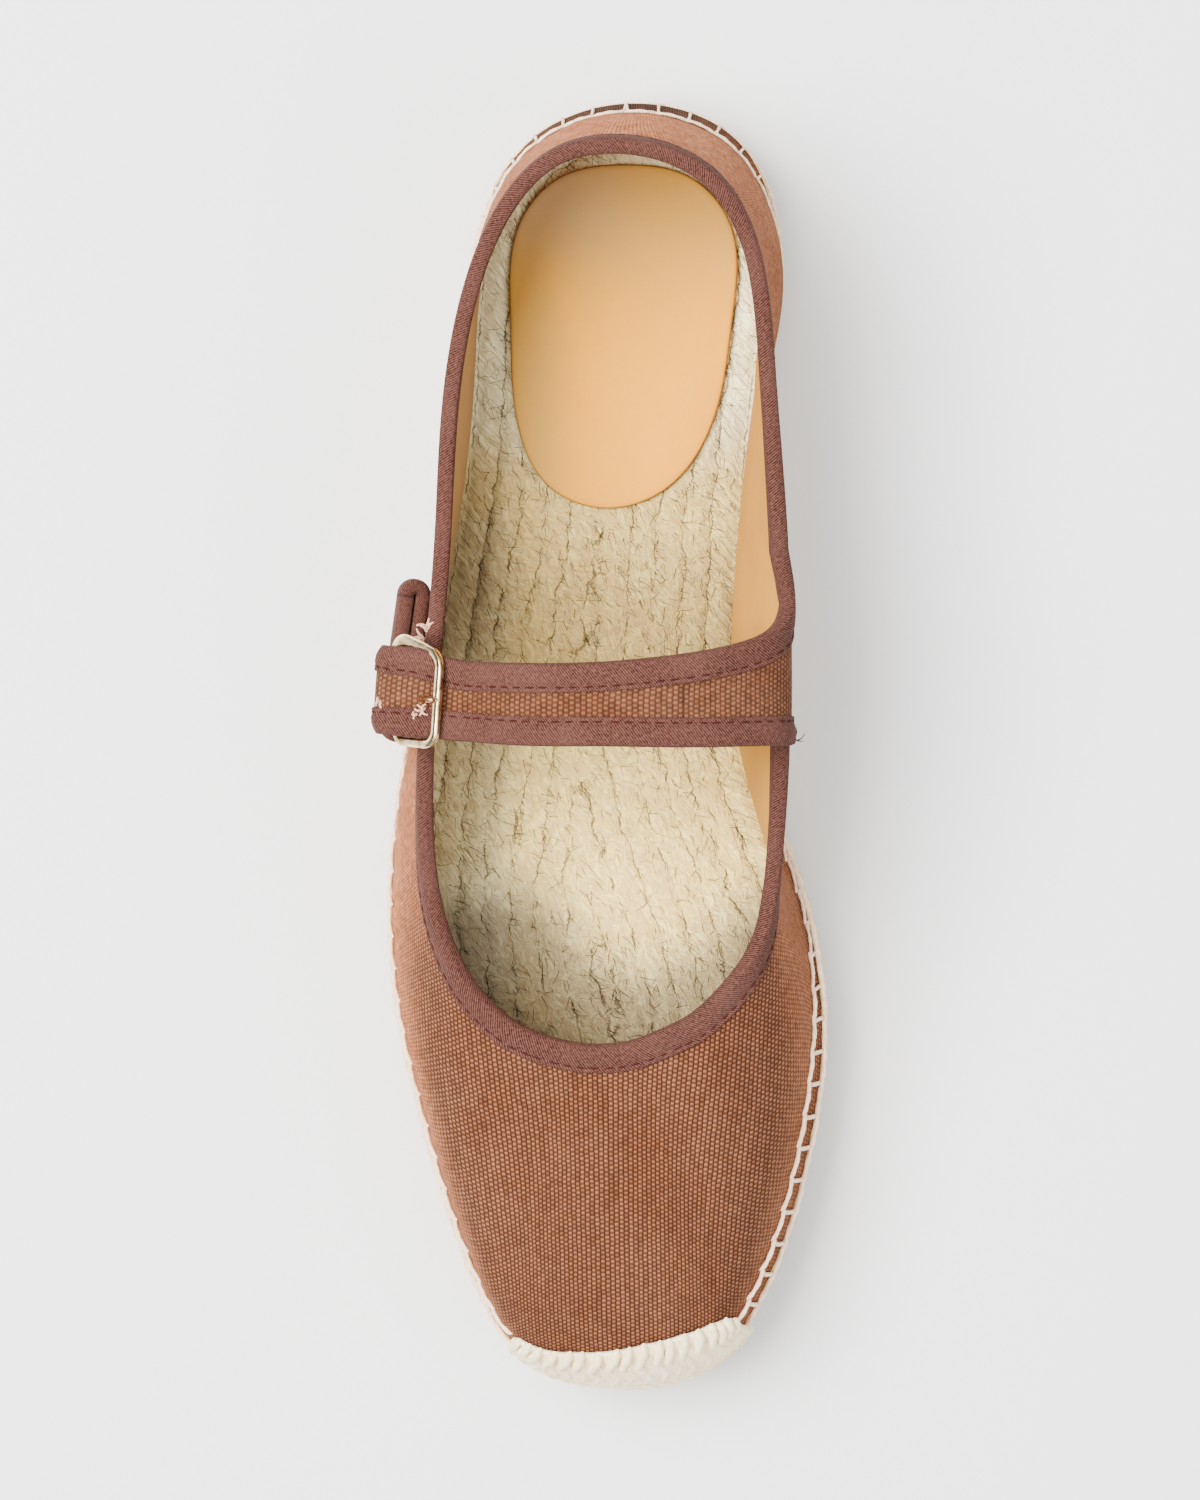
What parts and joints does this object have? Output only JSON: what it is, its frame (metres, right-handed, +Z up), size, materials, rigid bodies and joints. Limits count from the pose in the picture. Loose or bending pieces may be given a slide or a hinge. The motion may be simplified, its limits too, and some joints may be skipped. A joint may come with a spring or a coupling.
{
  "type": "ballerina espadrille",
  "caption": "Right-foot flat espadrille with a plaited jute sole, rust canvas upper bound in brown tape, a buckled instep strap and a yarn toe cap.",
  "frame": {"origin": "middle of the shoe's bounding box, on the floor under the sole", "axes": "+Z up, toe towards -Y, heel towards +Y, inner side of the foot towards +X"},
  "size_m": [0.0853, 0.2494, 0.0782],
  "materials": {
    "natural_rubber": "matte natural rubber",
    "plaited_jute": "plaited jute cord",
    "tan_leather": "smooth tan leather",
    "washed_canvas": "washed rust canvas",
    "twill_tape": "brown twill tape",
    "cotton_yarn": "cream cotton yarn",
    "pale_brass": "polished pale brass"
  },
  "bodies": {
    "root": {"outsole": "natural_rubber", "jute_sole": "plaited_jute", "heel_sock": "tan_leather", "upper": "washed_canvas", "strap": "washed_canvas", "edge_binding": "twill_tape", "toe_cap": "cotton_yarn", "buckle_frame": "pale_brass", "buckle_prong": "pale_brass", "buckle_tab": "twill_tape", "strap_keeper": "twill_tape"}
  },
  "joints": []
}
